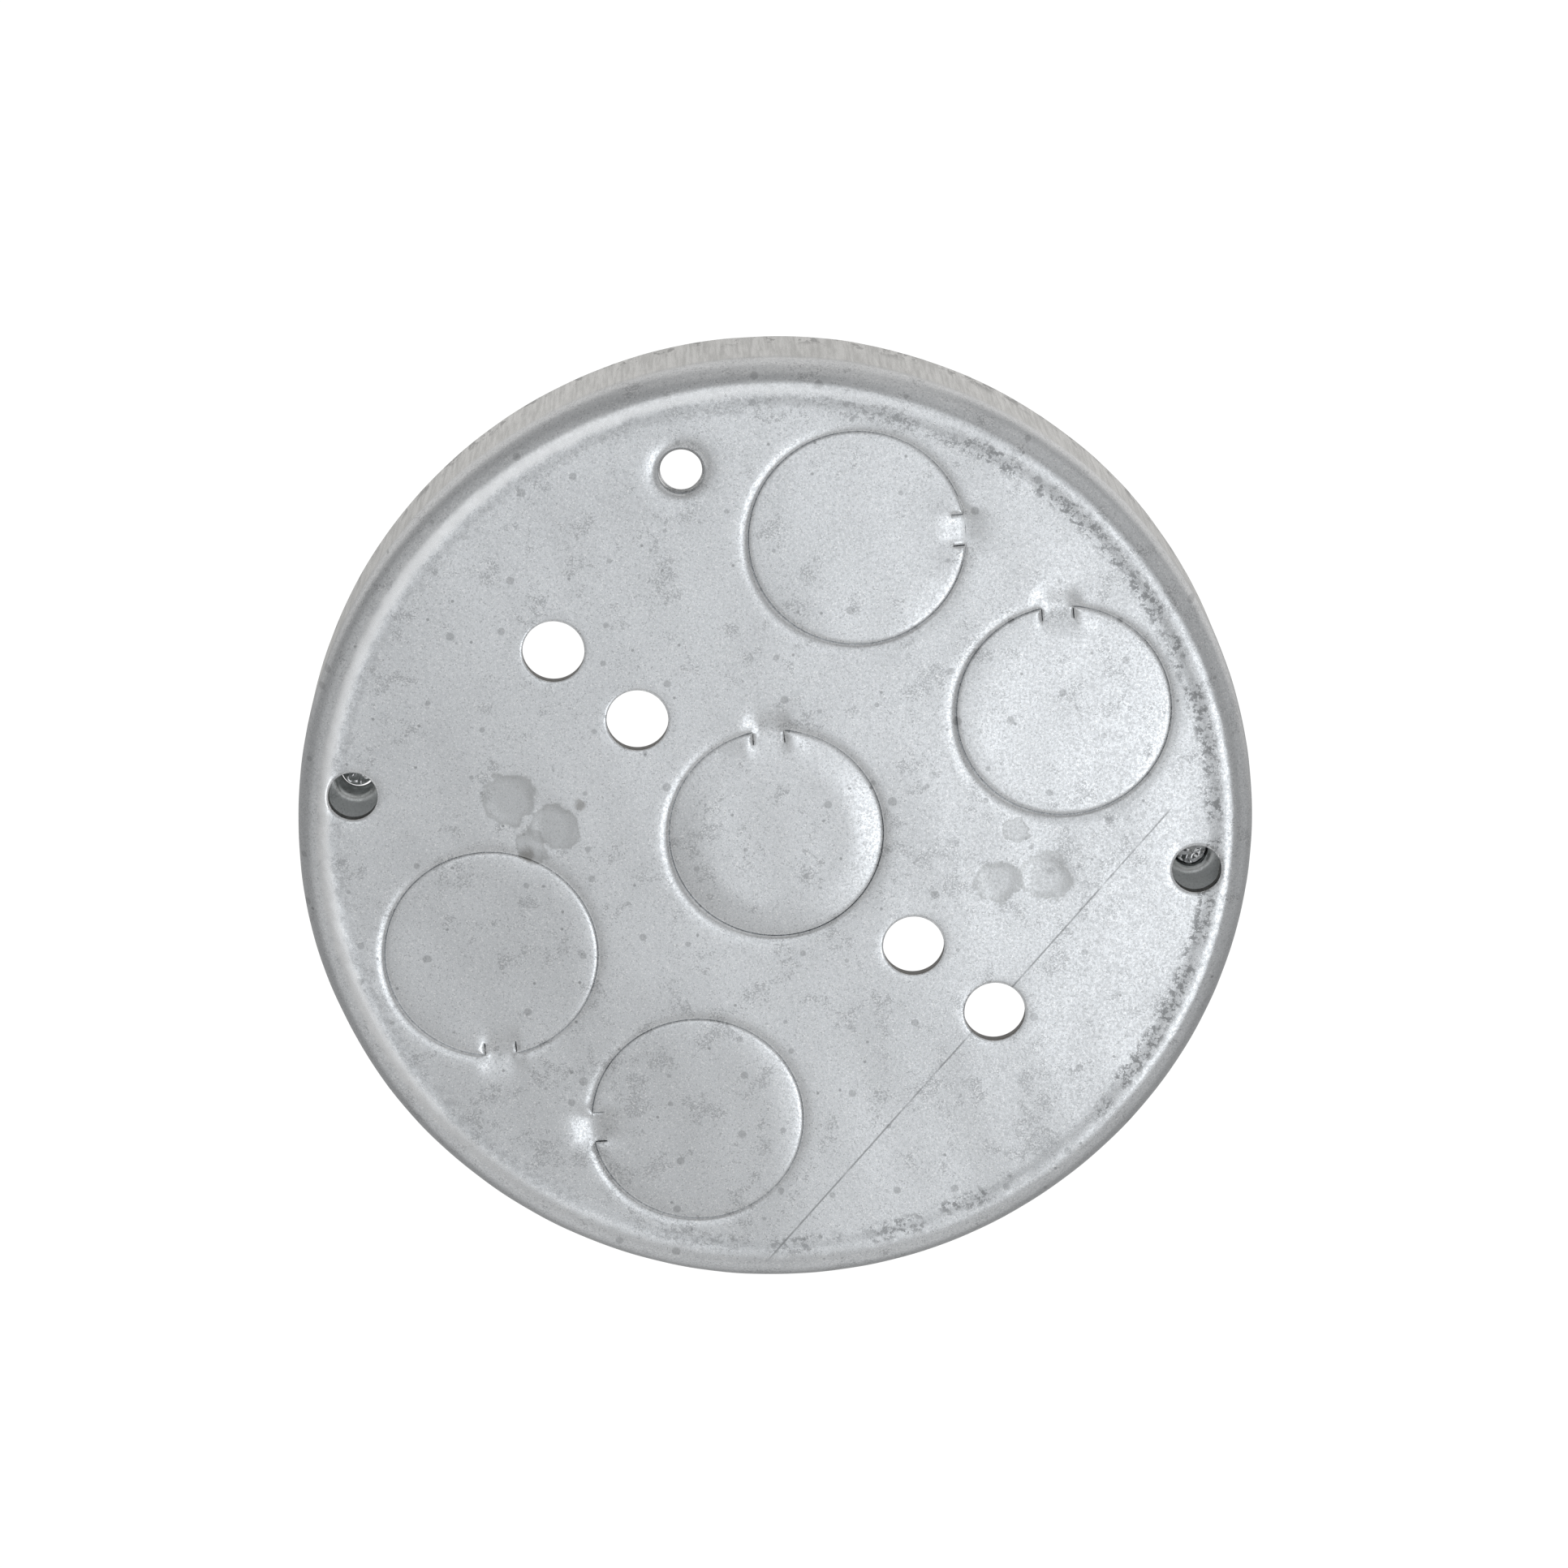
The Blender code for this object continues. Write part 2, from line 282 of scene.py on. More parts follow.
def common_relief(points):
    """How far the sheet lies inside the CAD's outer face, without the ties' dents."""
    u, v = points.T
    reach = np.hypot(u, v)
    wall = smooth(FLAT_RADIUS - 1.5, FLAT_RADIUS + 3.0, reach)
    depth = (BASE_INSET + BASE_CROWN * (reach / FLAT_RADIUS) ** 2) * (1 - wall) + WALL_INSET * wall
    depth += (1 - wall) * (0.035 * ripple(u, v, 26, 3) + 0.010 * ripple(u, v, 7, 4))
    depth += wall * (0.035 * ripple(u, v, 24, 5) + 0.012 * ripple(u, v, 5, 6))
    for x, z, radius, sink in weld_spots():
        away = np.hypot(u - x, v - z) * (1 + 0.14 * ripple(u, v, 3.5, 7))
        depth += sink * (1 - smooth(radius * 0.5, radius * 1.1, away))
    away = np.hypot(u - GROUND[0], v - GROUND[1])
    depth += 0.16 * np.exp(-((away - GROUND_HOLE_RADIUS) / 1.1) ** 2)
    shoulder = np.exp(-((reach - FLAT_RADIUS + 1.2) / 1.7) ** 2)
    return np.maximum(depth - 0.02 * shoulder, 0.0)


def base_relief(points):
    """Relief of the pan and of the ties."""
    return common_relief(points) + sum(tie_dent(knockout, points) for knockout in KNOCKOUTS)


def slug_shape(knockout):
    """The knockout's row of SLUG_SHAPES."""
    return SLUG_SHAPES[knockout.name.split("_")[-1]]


def slug_relief(knockout):
    """Relief of one slug: its border falls away, and beside the slits its corners spring back."""
    lean_u, lean_v, fall, ring, _ = slug_shape(knockout)
    root = knockout.radius - TIE_LENGTH

    def relief(points):
        along, across = tie_frame(knockout, points)
        aside = np.abs(across)
        beside = smooth(root - 0.5, root + 0.5, along) * smooth(TIE_HALF, TIE_HALF + 0.3, aside)
        dent = tie_dent(knockout, points, 0.7) * (1 - 0.85 * beside)
        near_tie = smooth(root - 2.5, root, along) * (1 - smooth(TIE_HALF + 0.5, TIE_HALF + 4, aside))
        u, v = (points - (knockout.x, knockout.z)).T
        border = np.clip((np.hypot(u, v) - knockout.radius + ring) / ring, 0, 1) ** 1.6
        return common_relief(points) + dent + (fall * border + lean_u * u + lean_v * v) * (1 - near_tie)

    return relief


def pan_place(relief):
    """Bends the flat blank to the pan: base, bend, wall. The blank's radius runs along the section."""

    def place(points, depth):
        reach = np.hypot(*points.T)
        cosine, sine = points.T / np.maximum(reach, 1e-9)
        turn = np.clip(reach - FLAT_RADIUS, 0, BEND_LENGTH) / BEND_RADIUS
        climb = np.maximum(reach - FLAT_RADIUS - BEND_LENGTH, 0)
        inset = depth + relief(points)
        radius = np.minimum(reach, FLAT_RADIUS) + (BEND_RADIUS - inset) * np.sin(turn)
        height = BEND_RADIUS * (1 - np.cos(turn)) + climb + inset * np.cos(turn)
        return np.column_stack((cosine * radius, height, sine * radius))

    return place


# ---- meshes

class Build:
    """Collects points in millimetres and faces, then makes one object of them."""

    def __init__(self):
        self.points = []
        self.faces = []
        self.count = 0
        self.normals = {}
        self.cut_faces = []

    def add(self, points):
        """Adds points and returns their numbers."""
        start = self.count
        self.points.append(np.asarray(points, float))
        self.count += len(points)
        return list(range(start, self.count))

    def bridge(self, one, two):
        """Quads between two closed rows of equal length."""
        for index in range(len(one)):
            after = (index + 1) % len(one)
            self.faces.append((one[index], one[after], two[after], two[index]))

    def loft(self, rows):
        """Quads between each row and the next."""
        for one, two in zip(rows, rows[1:]):
            self.bridge(one, two)

    def fan(self, ring, point):
        """Triangles from a ring to a new point."""
        centre = self.add([point])[0]
        for index, corner in enumerate(ring):
            self.faces.append((corner, ring[(index + 1) % len(ring)], centre))

    def make(self, name, material):
        """The object itself, with one material."""
        mesh = bpy.data.meshes.new(name)
        mesh.from_pydata((np.vstack(self.points) * MM).tolist(), [], self.faces)
        mesh.update()
        mesh.materials.append(material)
        item = bpy.data.objects.new(name, mesh)
        bpy.context.scene.collection.objects.link(item)
        return item

    def finish(self, name, material, sharp=40.0, cut_material=None):
        """The object of a piece, with its faces pointing out and its normals smooth up to an angle."""
        item = self.make(name, material)
        mesh = item.data
        if cut_material:
            mesh.materials.append(cut_material)
            for face in self.cut_faces:
                mesh.polygons[face].material_index = 1
        mesh.shade_smooth()
        shape = bmesh.new()
        shape.from_mesh(mesh)
        bmesh.ops.recalc_face_normals(shape, faces=shape.faces)
        shape.to_mesh(mesh)
        shape.free()
        mesh.set_sharp_from_angle(angle=math.radians(sharp))
        if self.normals:
            given = np.zeros((len(mesh.vertices), 3))
            for index, normal in self.normals.items():
                given[index] = normal
            mesh.normals_split_custom_set_from_vertices(given.tolist())
        return item


def inside_outline(points, outline):
    """Which points lie inside a closed outline, by the crossing rule."""
    inside = np.zeros(len(points), bool)
    for one, two in zip(outline, np.roll(outline, -1, axis=0)):
        if one[1] == two[1]:
            continue
        crosses = (one[1] > points[:, 1]) != (two[1] > points[:, 1])
        edge_u = one[0] + (points[:, 1] - one[1]) / (two[1] - one[1]) * (two[0] - one[0])
        inside ^= crosses & (points[:, 0] < edge_u)
    return inside


def triangles(loops, inner):
    """Triangles over flat points, where one loop bounds the sheet and any others bound its holes."""
    points = [point for loop in loops for point in loop] + list(inner)
    edges = []
    start = 0
    for loop in loops:
        count = len(loop)
        edges += [(start + index, start + (index + 1) % count) for index in range(count)]
        start += count
    found = delaunay_2d_cdt([Vector(point) for point in points], edges, [], 0, 1e-5)
    origin = [source[0] if source else -1 for source in found[3]]
    flat = np.array(points)
    faces = [tuple(origin[corner] for corner in face) for face in found[2]]
    faces = [face for face in faces if min(face) >= 0]
    middles = np.array([flat[list(face)].mean(axis=0) for face in faces])
    keep = np.zeros(len(faces), bool)
    for loop in loops:
        keep ^= inside_outline(middles, loop)
    return [face for face, good in zip(faces, keep) if good]


def hex_points(low, high, spacing):
    """A triangular grid of points over a rectangle."""
    rows = []
    rise = spacing * 0.866
    for row in range(int((high[1] - low[1]) / rise) + 1):
        across = np.arange(low[0] + spacing / 2 * (row % 2), high[0], spacing)
        rows.append(np.column_stack((across, np.full(len(across), low[1] + row * rise))))
    return np.vstack(rows)


def hole_loop(radius, count, centre):
    """A round hole's edge, with its inward direction into the sheet."""
    points = circle(radius, count, centre)
    inward = (points - np.array(centre)) / radius
    return Loop(points, inward, np.ones(count), np.ones(count), ("wall", "torn"), 0.0)


def profile_rows(kind, *rows):
    """Rows of an edge's profile, all of one kind, from their insets and depths."""
    return [(inset, depth, kind) for inset, depth in rows]


def thread_rows(top):
    """Profile of a tapped bore, which ends a little below its collar's top."""
    step = THREAD_PITCH / 7
    return [(0.0, 0.6 + index * step, "thread") for index in range(int((top - 1.0) / step))]


def add_edge(build, loop, place, profile):
    """The rows of points round an edge, from the sheet's outer face to its inner face.

    A profile row is (inset, depth, kind): kind "roll" has its depth scaled by the loop's own roll, kind
    "thread" adds a thread's depth to the inset, kind "torn" is shifted by the loop's own back, and kind
    "wall" stays as it is. Returns the first and last rows, flat and as point numbers.
    """
    rows = []
    flats = []
    turns = np.arctan2(loop.inward[:, 1], loop.inward[:, 0])
    ones = np.ones(len(turns))
    for inset, depth, kind in profile:
        if kind == "thread":
            phase = (depth / THREAD_PITCH - turns / (2 * math.pi)) % 1.0
            inset = inset + (TAPPED_ROOT - TAPPED_CREST) * (1 - np.abs(2 * phase - 1))
        flat = loop.points + loop.inward * (inset * loop.inset)[:, None]
        if kind == "torn":
            flat = flat + loop.back
        flats.append(flat)
        rows.append(build.add(place(flat, depth * (loop.roll if kind == "roll" else ones))))
    for one, two, (_, _, kind) in zip(rows, rows[1:], profile[1:]):
        start = len(build.faces)
        build.bridge(one, two)
        if kind in loop.cut:
            build.cut_faces += range(start, len(build.faces))
    return (flats[0], rows[0]), (flats[-1], rows[-1])


def add_faces(build, edges, inner, place, thickness):
    """The outer and the inner face of a sheet between its finished edges."""
    faces = triangles([edge[0][0] for edge in edges], inner)
    for end, depth in ((0, 0.0), (1, thickness)):
        numbers = [number for edge in edges for number in edge[end][1]]
        numbers += build.add(place(inner, np.full(len(inner), depth)))
        build.faces += [tuple(numbers[corner] for corner in face) for face in faces]


def sheared_edge(roll_width, roll_depth, taper=0.06, land_end=0.7):
    """Profile of the pan's sheared edges: die roll, land, then the torn zone, set back by the taper."""
    shares = (1.0, 0.62, 0.34, 0.13)
    roll = profile_rows("roll", *[(roll_width * share, roll_depth * (1 - share) ** 2) for share in shares])
    land = [(0.0, roll_depth * 1.5, "roll"), (0.0, land_end, "wall")]
    torn = profile_rows("torn", (taper, land_end + 0.2), (taper, SHEET - 0.05), (taper + 0.05, SHEET),
                        (taper + 0.3, SHEET))
    return roll + land + torn


def nearest(points, others):
    """Distance from each point to the nearest of the others."""
    away = np.full(len(points), np.inf)
    for start in range(0, len(others), 64):
        part = others[start:start + 64]
        away = np.minimum(away, np.linalg.norm(points[:, None] - part, axis=2).min(axis=1))
    return away


def clear_of(points, edges, near):
    """The points that lie more than near away from every finished edge."""
    rims = np.vstack([row[0] for edge in edges for row in edge])
    return points[nearest(points, rims) > near]


def sheet_points(low, high, grids, spots, reach):
    """A triangular grid over a rectangle, with a finer one within reach of the given spots."""
    coarse, fine = [hex_points(low, high, spacing) for spacing in grids]
    spots = np.array(spots)
    coarse = coarse[nearest(coarse, spots) > reach + grids[0] / 2]
    return np.vstack((coarse, fine[nearest(fine, spots) < reach]))


def tie_spot(knockout, beyond):
    """The point of a tie's middle line that lies this far beyond the cut."""
    reach = knockout.radius + beyond
    return knockout.x + knockout.dx * reach, knockout.z + knockout.dz * reach


def tie_roll(knockout, points):
    """How strongly the hole's edge rolls in: not at all where the tie joins, most at the lower left."""
    along, across = tie_frame(knockout, points)
    away = smooth(TIE_HALF, TIE_HALF + 0.5, np.where(along > 0, np.abs(across), 9.0))
    u, v = (points - (knockout.x, knockout.z)).T
    turns = np.arctan2(v, u)
    return away * (1.05 + 0.45 * np.cos(turns - ROLL_TOWARDS))


def cut_radius(knockout, turns):
    """Radius of a knockout's hole: the punch sat off centre, so the gap is widest on one side."""
    share = 0.5 + 0.5 * np.cos(turns - GAP_TOWARDS)
    return knockout.radius + CUT_GAP * (0.12 + 1.3 * slug_shape(knockout)[-1] * share ** 1.5)


# ---- pan

def pan_holes():
    """Each hole of the base: centre, radius, number of points, edge profile, and its knockout if any."""
    cut = sheared_edge(1.1, 0.15, 0.12, 0.38)
    holes = [((knockout.x, knockout.z), knockout.radius, KNOCKOUT_POINTS, cut, knockout)
             for knockout in KNOCKOUTS]
    for name in ("lower_inner", "lower_outer", "upper_inner", "upper_outer"):
        centre = opening_centre("mounting_hole_" + name)
        holes.append((centre, MOUNTING_HOLE_RADIUS, MOUNTING_HOLE_POINTS, sheared_edge(0.32, 0.06), None))
    for side in (1, -1):
        centre = (side * SCREW_X, 0.0)
        holes.append((centre, ACCESS_HOLE_RADIUS, BORE_POINTS, sheared_edge(0.42, 0.10), None))
    holes.append((GROUND, GROUND_HOLE_RADIUS, BORE_POINTS, ground_edge(), None))
    return holes


def ground_edge():
    """Profile of the ground screw's hole: a rolled mouth, a threaded bore and the collar round it."""
    top = mount_point("ground_screw_seat")[1] - BASE_INSET - BASE_CROWN - 0.2
    wall = GROUND_COLLAR_WALL
    mouth = profile_rows("roll", (1.5, 0.0), (0.9, 0.015), (0.5, 0.05), (0.3, 0.13), (0.24, 0.28),
                         (0.05, 0.5))
    collar = profile_rows("wall", (0.25, top), (0.7, top), (wall, top - 0.15), (wall + 0.02, SHEET + 0.35),
                          (wall + 0.12, SHEET + 0.1), (wall + 0.4, SHEET), (1.6, SHEET))
    return mouth + thread_rows(top) + collar


def rim_drop(turns):
    """How far the rim stands short of its full height: trimmed unevenly, with a step and a nick."""
    drop = 0.10 + 0.07 * np.sin(turns * 2 + 0.6) + 0.04 * np.sin(turns * 5 + 2.0)
    drop += 0.015 * np.sin(turns * 23)
    steps = 0.12 * (smooth(1.30, 1.33, turns) - smooth(1.47, 1.50, turns))
    nick = 0.14 * np.exp(-((turns - 0.12) / 0.012) ** 2)
    return np.clip(drop + steps + nick, 0.0, 0.4)


def make_pan(material, cut_material):
    """The drawn pan: flat base with its holes, then bend, wall and rim as rows of quads."""
    build = Build()
    place = pan_place(base_relief)
    edges = []
    for centre, radius, count, profile, knockout in pan_holes():
        loop = hole_loop(radius, count, centre)
        if knockout:
            points = circle(1.0, count) * cut_radius(knockout, even_turns(count))[:, None] + centre
            loop = loop._replace(points=points, roll=tie_roll(knockout, points), cut=("torn",))
        edges.append(add_edge(build, loop, place, profile))
    for knockout in KNOCKOUTS:
        seam_normals(build, place, knockout, knockout.radius, 0.3)
    outer = FLAT_RADIUS + 1.1
    edges.append(make_wall(build, place, outer))
    spots = [tie_spot(knockout, 0.8) for knockout in KNOCKOUTS] + [spot[:2] for spot in weld_spots()]
    inner = sheet_points((-outer, -outer), (outer, outer), PAN_GRIDS, spots, 3.2)
    inner = inner[np.hypot(*inner.T) < outer - 0.4]
    add_faces(build, edges, clear_of(inner, edges, 0.34), place, SHEET)
    pan = build.finish("pan_shell", material, cut_material=cut_material)
    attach(pan, "pan_and_ears")
    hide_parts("pan")


def seam_normals(build, place, knockout, seam, near):
    """Gives the outer points near a tie's seam, at this distance along it, the sheet's own normals."""
    points = np.vstack(build.points)
    along, across = tie_frame(knockout, points[:, [0, 2]])
    joined = (np.abs(along - seam) < near) & (np.abs(across) < TIE_HALF) & (points[:, 1] < SHEET * 0.75)
    add_normals(build, np.nonzero(joined)[0], points[joined][:, [0, 2]], place)


def add_normals(build, numbers, flat, place):
    """Sets the normals of points on the outer face from the slope of the place function."""
    if len(numbers) == 0:
        return
    step = 0.02
    depth = np.zeros(len(flat))
    by_u = place(flat + (step, 0), depth) - place(flat - (step, 0), depth)
    by_v = place(flat + (0, step), depth) - place(flat - (0, step), depth)
    normals = np.cross(by_u, by_v)
    normals /= np.linalg.norm(normals, axis=1)[:, None]
    for number, normal in zip(numbers, normals):
        build.normals[int(number)] = normal


def make_wall(build, place, outer):
    """Bend, wall and rim from the base's border, back to it along the inside. Returns that border."""
    count = RIM_POINTS
    turns = even_turns(count)
    reach = RIM_REACH - rim_drop(turns)
    bend_end = FLAT_RADIUS + BEND_LENGTH
    climb = [np.full(count, radius) for radius in np.linspace(outer, bend_end, 12)]
    climb += [bend_end + (reach - 0.3 - bend_end) * share for share in np.arange(1, 13) / 12]
    rough = reach + 0.04 * ripple(turns * PAN_RADIUS, turns * 0, 1.3, 11)
    rim = [(reach - 0.12, 0.02), (rough - 0.03, 0.12), (rough, 0.35), (rough, 0.7), (rough, 1.1),
           (rough - 0.03, 1.4), (reach - 0.1, SHEET)]
    section = [(radii, 0.0) for radii in climb] + rim + [(radii, SHEET) for radii in reversed(climb)]
    flats = [circle(1.0, count) * radii[:, None] for radii, _ in section]
    rows = [build.add(place(flat, np.full(count, depth))) for flat, (_, depth) in zip(flats, section)]
    build.loft(rows)
    return (flats[0], rows[0]), (flats[-1], rows[-1])


# ---- knockouts

def slug_outline(knockout):
    """Edge of a slug, counter-clockwise, with the notch that its tie fills. Local axes: along, across.

    Returns its points, and how far each one follows the profile's inset and roll.
    """
    rim = knockout.radius - CUT_GAP * 0.15
    notch = TIE_HALF + SLIT
    root = knockout.radius - TIE_LENGTH
    start = math.asin(notch / rim)
    turns = np.linspace(start, 2 * math.pi - start, SLUG_POINTS)
    points = arc((0, 0), rim, turns)
    travel = rim * np.minimum(turns - start, 2 * math.pi - start - turns)
    insets = list(np.clip(travel / 0.9, 0.12, 1.0))
    rolls = [1.0] * len(points)
    lower = [(x, -notch) for x in np.linspace(rim * math.cos(start), root + SLIT, 9)[1:]]
    lower += [(root + SLIT * 0.3, -notch + SLIT * 0.12), (root, -notch + SLIT * 0.5)]
    seam = [(root, z) for z in np.linspace(-TIE_HALF, TIE_HALF, 13)]
    upper = [(x, -z) for x, z in reversed(lower)]
    for part, roll in ((lower, 0.7), (seam, 0.0), (upper, 0.7)):
        points += part
        insets += [0.12] * len(part)
        rolls += [roll] * len(part)
    return np.array(points), np.array(insets), np.array(rolls)


def outline_normals(points):
    """Direction into a counter-clockwise outline at each of its points."""
    steps = np.roll(points, -1, axis=0) - points
    steps /= np.linalg.norm(steps, axis=1)[:, None]
    mean = steps + np.roll(steps, 1, axis=0)
    mean /= np.linalg.norm(mean, axis=1)[:, None]
    return np.column_stack((-mean[:, 1], mean[:, 0]))


def to_base(knockout, local):
    """Local (along, across) to the base's (u, v)."""
    axes = np.array(((knockout.dx, knockout.dz), (-knockout.dz, knockout.dx)))
    return np.array((knockout.x, knockout.z)) + local @ axes


def make_slug(knockout, material, cut_material):
    """One slug: a disc with a sheared edge, and a notch for its tie."""
    build = Build()
    place = pan_place(slug_relief(knockout))
    local, insets, rolls = slug_outline(knockout)
    flat = to_base(knockout, local)
    inward = to_base(knockout, local + outline_normals(local)) - flat
    radius = knockout.radius
    root = radius - TIE_LENGTH
    beside = 1 - smooth(TIE_HALF + 0.4, TIE_HALF + 3.2, np.abs(local[:, 1]))
    relief = -CORNER_RELIEF * smooth(root, radius, local[:, 0]) * beside
    loop = Loop(flat, inward, insets, rolls, ("torn",), np.outer(relief, (knockout.dx, knockout.dz)))
    edge = add_edge(build, loop, place, sheared_edge(0.5, 0.05, SLUG_LEDGE, 0.62))
    seam_normals(build, place, knockout, root, 0.15)
    centre = np.array((knockout.x, knockout.z))
    spots = [tie_spot(knockout, -TIE_LENGTH)]
    inner = sheet_points(centre - radius, centre + radius, SLUG_GRIDS, spots, 3.0)
    along, across = tie_frame(knockout, inner)
    notch = (along > root - 0.2) & (np.abs(across) < TIE_HALF + SLIT + 0.25)
    inner = inner[(np.hypot(along, across) < radius - 0.9) & ~notch]
    add_faces(build, [edge], clear_of(inner, [edge], 0.22), place, SHEET)
    slug = build.finish(knockout.name + "_slug", material, cut_material=cut_material)
    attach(slug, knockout.name)
    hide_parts(knockout.name)


def make_tie(knockout, material):
    """The strip that still joins a slug to the pan, following the tie's dent between the two."""
    build = Build()
    place = pan_place(base_relief)
    hair = 0.004
    face = np.concatenate(([-TIE_HALF], np.linspace(-TIE_HALF + 0.04, TIE_HALF - 0.04, 15), [TIE_HALF]))
    drop = 0.10 * np.clip(1 - (TIE_HALF - np.abs(face)) / 0.30, 0, 1) ** 2
    ledge = TIE_HALF + SLIT - 0.03
    flank = [(TIE_HALF, 0.45), (ledge, 0.6), (ledge, 1.0), (ledge, SHEET - 0.06)]
    back = [(z, SHEET) for z in np.linspace(TIE_HALF - 0.05, -TIE_HALF + 0.05, 9)]
    section = list(zip(face, drop)) + flank + back + [(-z, level) for z, level in reversed(flank)]
    across, depth = np.array(section).T
    turns = math.atan2(knockout.dz, knockout.dx) + np.arcsin(across / knockout.radius)
    near = knockout.radius - TIE_LENGTH + hair
    far = np.sqrt((cut_radius(knockout, turns) - hair) ** 2 - across ** 2)
    rows = []
    for share in np.linspace(0, 1, 17):
        local = np.column_stack((near + (far - near) * share, across))
        rolled = np.where(depth < 0.2, depth * (1 - abs(2 * share - 1) ** 6), depth)
        rows.append(build.add(place(to_base(knockout, local), rolled)))
        if share in (0.0, 1.0):
            outer = depth < 0.2
            add_normals(build, np.array(rows[-1])[outer], build.points[-1][outer][:, [0, 2]], place)
    build.loft(rows)
    build.faces += [tuple(rows[0]), tuple(rows[-1])]
    tie = build.finish(knockout.name + "_tie", material)
    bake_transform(tie)


# ---- ear straps

def strap_path():
    """Heights of foot and tab, the riser's place, and the lengths of foot, riser, tab and each bend."""
    foot_y = SHEET + BASE_INSET + BASE_CROWN * 0.32 + 0.02 + STRAP / 2
    tab_y = EAR_LOW[1] + (EAR_HIGH[1] - EAR_LOW[1]) * 0.548 + STRAP / 2
    riser_x = EAR_LOW[0] + (EAR_HIGH[0] - EAR_LOW[0]) * RISER_SHARE
    foot = riser_x - STRAP_BEND - EAR_LOW[0]
    riser = tab_y - foot_y - 2 * STRAP_BEND
    tab = EAR_HIGH[0] - 0.05 - riser_x - STRAP_BEND
    return StrapPath(foot_y, tab_y, riser_x, foot, riser, tab, STRAP_BEND * math.pi / 2)


PATH = strap_path()


def strap_place(side):
    """Bends the flat strap to its Z. u runs along it from the inner end, v across it."""

    def place(points, depth):
        u, v = points.T
        first = np.clip(u - PATH.foot, 0, PATH.arc) / STRAP_BEND
        rise = np.clip(u - PATH.foot - PATH.arc, 0, PATH.riser)
        second = np.clip(u - PATH.foot - PATH.arc - PATH.riser, 0, PATH.arc) / STRAP_BEND
        along = np.minimum(u, PATH.foot) + STRAP_BEND * (np.sin(first) + 1 - np.cos(second))
        along += np.maximum(u - PATH.foot - 2 * PATH.arc - PATH.riser, 0)
        up = STRAP_BEND * (1 - np.cos(first) + np.sin(second)) + rise
        offset = depth - STRAP / 2
        x = EAR_LOW[0] + along - np.sin(first - second) * offset
        y = PATH.foot_y + up + np.cos(first - second) * offset
        sag = 0.02 * ripple(u, v, 9, 21 + side)
        return np.column_stack((side * x, y + sag + 0.02, side * v))

    return place


def strap_outline():
    """Edge of the flat strap, counter-clockwise: narrow foot, wider tab with rounded corners."""
    full = PATH.foot + 2 * PATH.arc + PATH.riser + PATH.tab
    flare = PATH.foot + PATH.arc * 0.4
    wide = PATH.foot + PATH.arc + PATH.riser + PATH.arc * 0.6
    right_angle = math.pi / 2
    upper = arc((full - TAB_CORNER, TAB_HALF - TAB_CORNER), TAB_CORNER, np.linspace(0, right_angle, 12))
    upper += [(x, TAB_HALF) for x in np.arange(full - TAB_CORNER - 0.5, wide, -0.5)]
    flare_rise = TAB_HALF - FOOT_HALF
    upper += [(flare + (wide - flare) * share, FOOT_HALF + flare_rise * smooth(0, 1, share))
              for share in np.linspace(1, 0, 10)]
    upper += [(x, FOOT_HALF) for x in np.arange(flare - 0.5, 0.9, -0.5)]
    upper += arc((FOOT_CORNER, FOOT_HALF - FOOT_CORNER), FOOT_CORNER, np.linspace(right_angle, math.pi, 6))
    end = [(0.0, z) for z in np.arange(FOOT_HALF - 1.2, -FOOT_HALF + 0.9, -0.5)]
    lower = [(x, -z) for x, z in reversed(upper)]
    tip = [(full, z) for z in np.linspace(TAB_CORNER - TAB_HALF, TAB_HALF - TAB_CORNER, 14)[1:-1]]
    return np.array(upper + end + lower + tip)


def tapped_edge():
    """Profile of an ear's extruded and tapped hole: rolled mouth, thread and collar."""
    top = EAR_HIGH[1] - PATH.tab_y + STRAP / 2 - 0.12
    wall = COLLAR_WALL
    mouth = profile_rows("wall", (1.3, 0.0), (0.75, 0.02), (0.4, 0.09), (0.16, 0.24), (0.04, 0.45))
    collar = profile_rows("wall", (0.32, top - 0.1), (0.45, top), (wall - 0.2, top),
                          (wall - 0.04, top - 0.2), (wall, STRAP + 1.2), (wall + 0.03, STRAP + 0.45),
                          (wall + 0.14, STRAP + 0.15), (wall + 0.4, STRAP), (wall + 0.8, STRAP))
    return mouth + thread_rows(top) + collar


def strap_edge():
    """Profile of the strap's rounded edge."""
    outer = profile_rows("roll", (0.3, 0.0), (0.14, 0.03), (0.04, 0.10), (0.0, 0.25))
    return outer + profile_rows("wall", (0.0, STRAP * 0.6), (0.03, STRAP - 0.2), (0.1, STRAP - 0.05),
                                (0.3, STRAP))


def make_strap(side, name, material):
    """One ear: a Z strap with its tapped collar."""
    build = Build()
    place = strap_place(side)
    outline = strap_outline()
    ones = np.ones(len(outline))
    loop = Loop(outline, outline_normals(outline), ones, ones, (), 0.0)
    hole_u = PATH.foot + 2 * PATH.arc + PATH.riser + SCREW_X - PATH.riser_x - STRAP_BEND
    hole = hole_loop(TAPPED_CREST, BORE_POINTS, (hole_u, 0.0))
    edges = [add_edge(build, loop, place, strap_edge()), add_edge(build, hole, place, tapped_edge())]
    inner = hex_points(outline.min(axis=0), outline.max(axis=0), STRAP_GRID)
    inner = clear_of(inner[inside_outline(inner, outline)], edges, 0.3)
    inner = inner[np.hypot(*(inner - (hole_u, 0)).T) > TAPPED_CREST + 1.8]
    add_faces(build, edges, inner, place, STRAP)
    strap = build.finish(name + "_strap", material)
    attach(strap, "pan_and_ears")
    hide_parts(name)


# ---- cover screws

